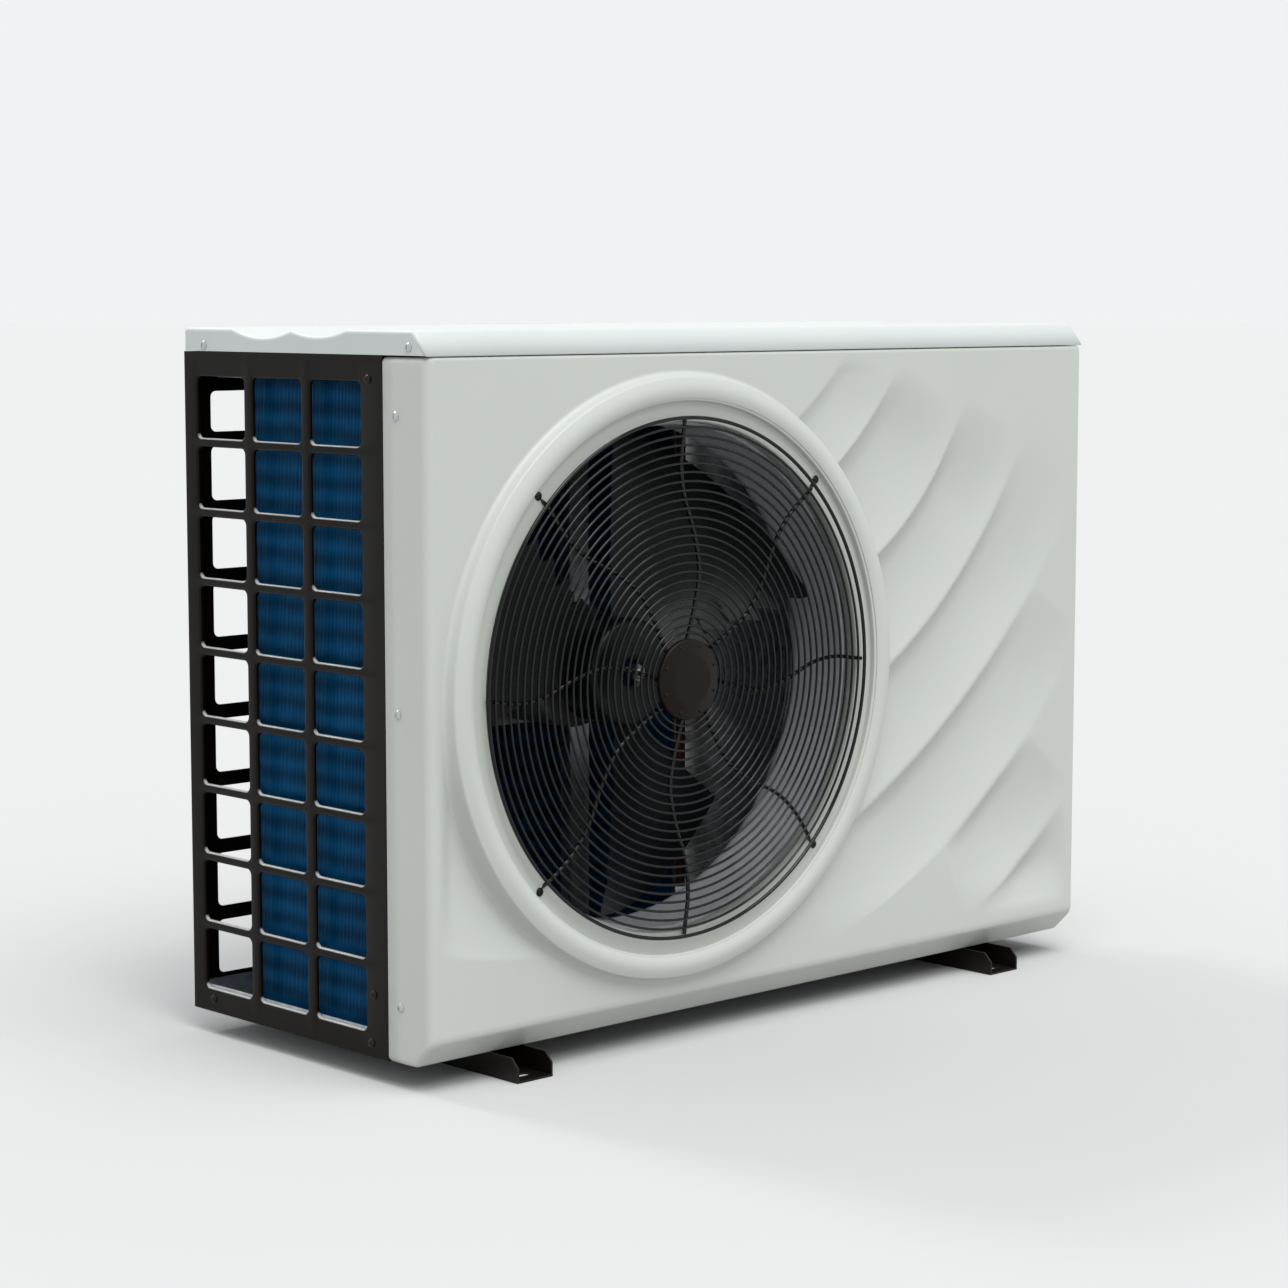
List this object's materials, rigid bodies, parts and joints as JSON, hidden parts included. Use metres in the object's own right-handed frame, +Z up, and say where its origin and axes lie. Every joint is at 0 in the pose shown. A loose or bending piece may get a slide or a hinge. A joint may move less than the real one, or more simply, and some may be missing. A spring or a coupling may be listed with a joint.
{
  "type": "pool heat pump",
  "caption": "Outdoor swimming pool heat pump with a wire-guarded front fan, fluted front panel, coil guards and channel feet.",
  "frame": {"origin": "on the ground, at the centre of the four anchor slots in the feet", "axes": "+Z up, front faces -Y, the guarded coil end faces -X, the water unions point to +X"},
  "size_m": [1.0649, 0.4374, 0.7535],
  "materials": {
    "grey_plastic": "satin light grey moulding",
    "grey_steel": "powder coated light grey",
    "shroud_steel": "gloss grey paint",
    "black_plastic": "gloss black",
    "black_steel": "black paint",
    "black_wire": "black dipped wire",
    "fan_plastic": "dark grey glass-filled plastic",
    "screw_steel": "bright zinc",
    "galvanised": "galvanised sheet",
    "motor_steel": "black stove enamel",
    "fin_aluminium": "blue hydrophilic fins",
    "bare_aluminium": "extruded, as drawn",
    "copper": "bare copper tube",
    "brass": "machined brass",
    "titanium": "plain titanium tube",
    "rubber": "black rubber",
    "white_plastic": "white plastic",
    "board": "green circuit board",
    "screen": "dark display window",
    "smoked_plastic": "smoked cover",
    "clear": "clear window",
    "red_plastic": "red pointer"
  },
  "bodies": {
    "casing": {"base_pan": "galvanised", "left_foot": "black_steel", "right_foot": "black_steel", "hex_bolts": "screw_steel", "front_panel": "grey_plastic", "left_guard": "black_plastic", "rear_guard": "black_plastic", "rear_panel": "grey_steel", "right_panel": "grey_steel", "service_cover": "grey_steel", "top_cover": "grey_steel", "silver_screws": "screw_steel", "black_screws": "black_steel", "guard_rings": "black_wire", "guard_spokes": "black_wire", "guard_disc": "black_plastic", "fan_shroud": "shroud_steel", "fan_motor": "motor_steel", "motor_bracket": "galvanised", "evaporator_fins": "fin_aluminium", "evaporator_plates": "galvanised", "evaporator_tubes": "copper", "partition": "galvanised", "compressor": "motor_steel", "accumulator": "motor_steel", "compressor_grommets": "rubber", "four_way_valve": "brass", "expansion_valve": "brass", "filter_drier": "copper", "discharge_pipe": "copper", "suction_pipe": "copper", "gas_pipes": "copper", "liquid_pipes": "copper", "exchanger_shell": "black_plastic", "titanium_coil": "titanium", "union_tailpieces": "white_plastic", "union_seals": "rubber", "flow_switch": "white_plastic", "electric_box": "galvanised", "main_board": "board", "heat_sink": "bare_aluminium", "terminal_block": "white_plastic", "controller_housing": "black_plastic", "controller_screen": "screen", "gauge_case": "black_plastic", "gauge_lens": "clear", "cable_glands": "black_plastic", "drain_nozzle": "black_plastic"},
    "fan_rotor": {"fan": "fan_plastic", "fan_nut": "screw_steel", "motor_shaft": "screw_steel"},
    "inlet_nut": {"inlet_union_nut": "black_plastic"},
    "outlet_nut": {"outlet_union_nut": "black_plastic"},
    "control_cover": {"controller_cover": "smoked_plastic"},
    "power_key": {"power_button": "white_plastic"},
    "mode_key": {"mode_button": "white_plastic"},
    "down_key": {"down_button": "white_plastic"},
    "up_key": {"up_button": "white_plastic"},
    "needle": {"gauge_needle": "red_plastic"},
    "paddle": {"flow_paddle": "screw_steel"}
  },
  "joints": [
    {"name": "fan_spin", "type": "hinge", "parent": "casing", "child": "fan_rotor", "pos_m": [-0.1476, -0.1, 0.3886], "axis": [0, 1, 0], "continuous": true},
    {"name": "inlet_nut_turn", "type": "hinge", "parent": "casing", "child": "inlet_nut", "pos_m": [0.534, 0.095, 0.115], "axis": [1, 0, 0], "continuous": true},
    {"name": "outlet_nut_turn", "type": "hinge", "parent": "casing", "child": "outlet_nut", "pos_m": [0.534, 0.095, 0.43], "axis": [1, 0, 0], "continuous": true},
    {"name": "controller_cover_hinge", "type": "hinge", "parent": "casing", "child": "control_cover", "pos_m": [0.5206, 0.055, 0.692], "axis": [0, -1, 0], "range_deg": [0, 120]},
    {"name": "gauge_needle_turn", "type": "hinge", "parent": "casing", "child": "needle", "pos_m": [0.512, 0.158, 0.64], "axis": [-1, 0, 0], "range_deg": [0, 270], "stiffness_Nm_per_rad": 0.0005},
    {"name": "flow_paddle_swing", "type": "hinge", "parent": "casing", "child": "paddle", "pos_m": [0.493, 0.095, 0.146], "axis": [0, -1, 0], "range_deg": [0, 20], "stiffness_Nm_per_rad": 0.002},
    {"name": "power_button_press", "type": "slide", "parent": "casing", "child": "power_key", "axis": [-1, 0, 0], "range_m": [0, 0.0015], "stiffness_N_per_m": 400},
    {"name": "mode_button_press", "type": "slide", "parent": "casing", "child": "mode_key", "axis": [-1, 0, 0], "range_m": [0, 0.0015], "stiffness_N_per_m": 400},
    {"name": "down_button_press", "type": "slide", "parent": "casing", "child": "down_key", "axis": [-1, 0, 0], "range_m": [0, 0.0015], "stiffness_N_per_m": 400},
    {"name": "up_button_press", "type": "slide", "parent": "casing", "child": "up_key", "axis": [-1, 0, 0], "range_m": [0, 0.0015], "stiffness_N_per_m": 400}
  ]
}
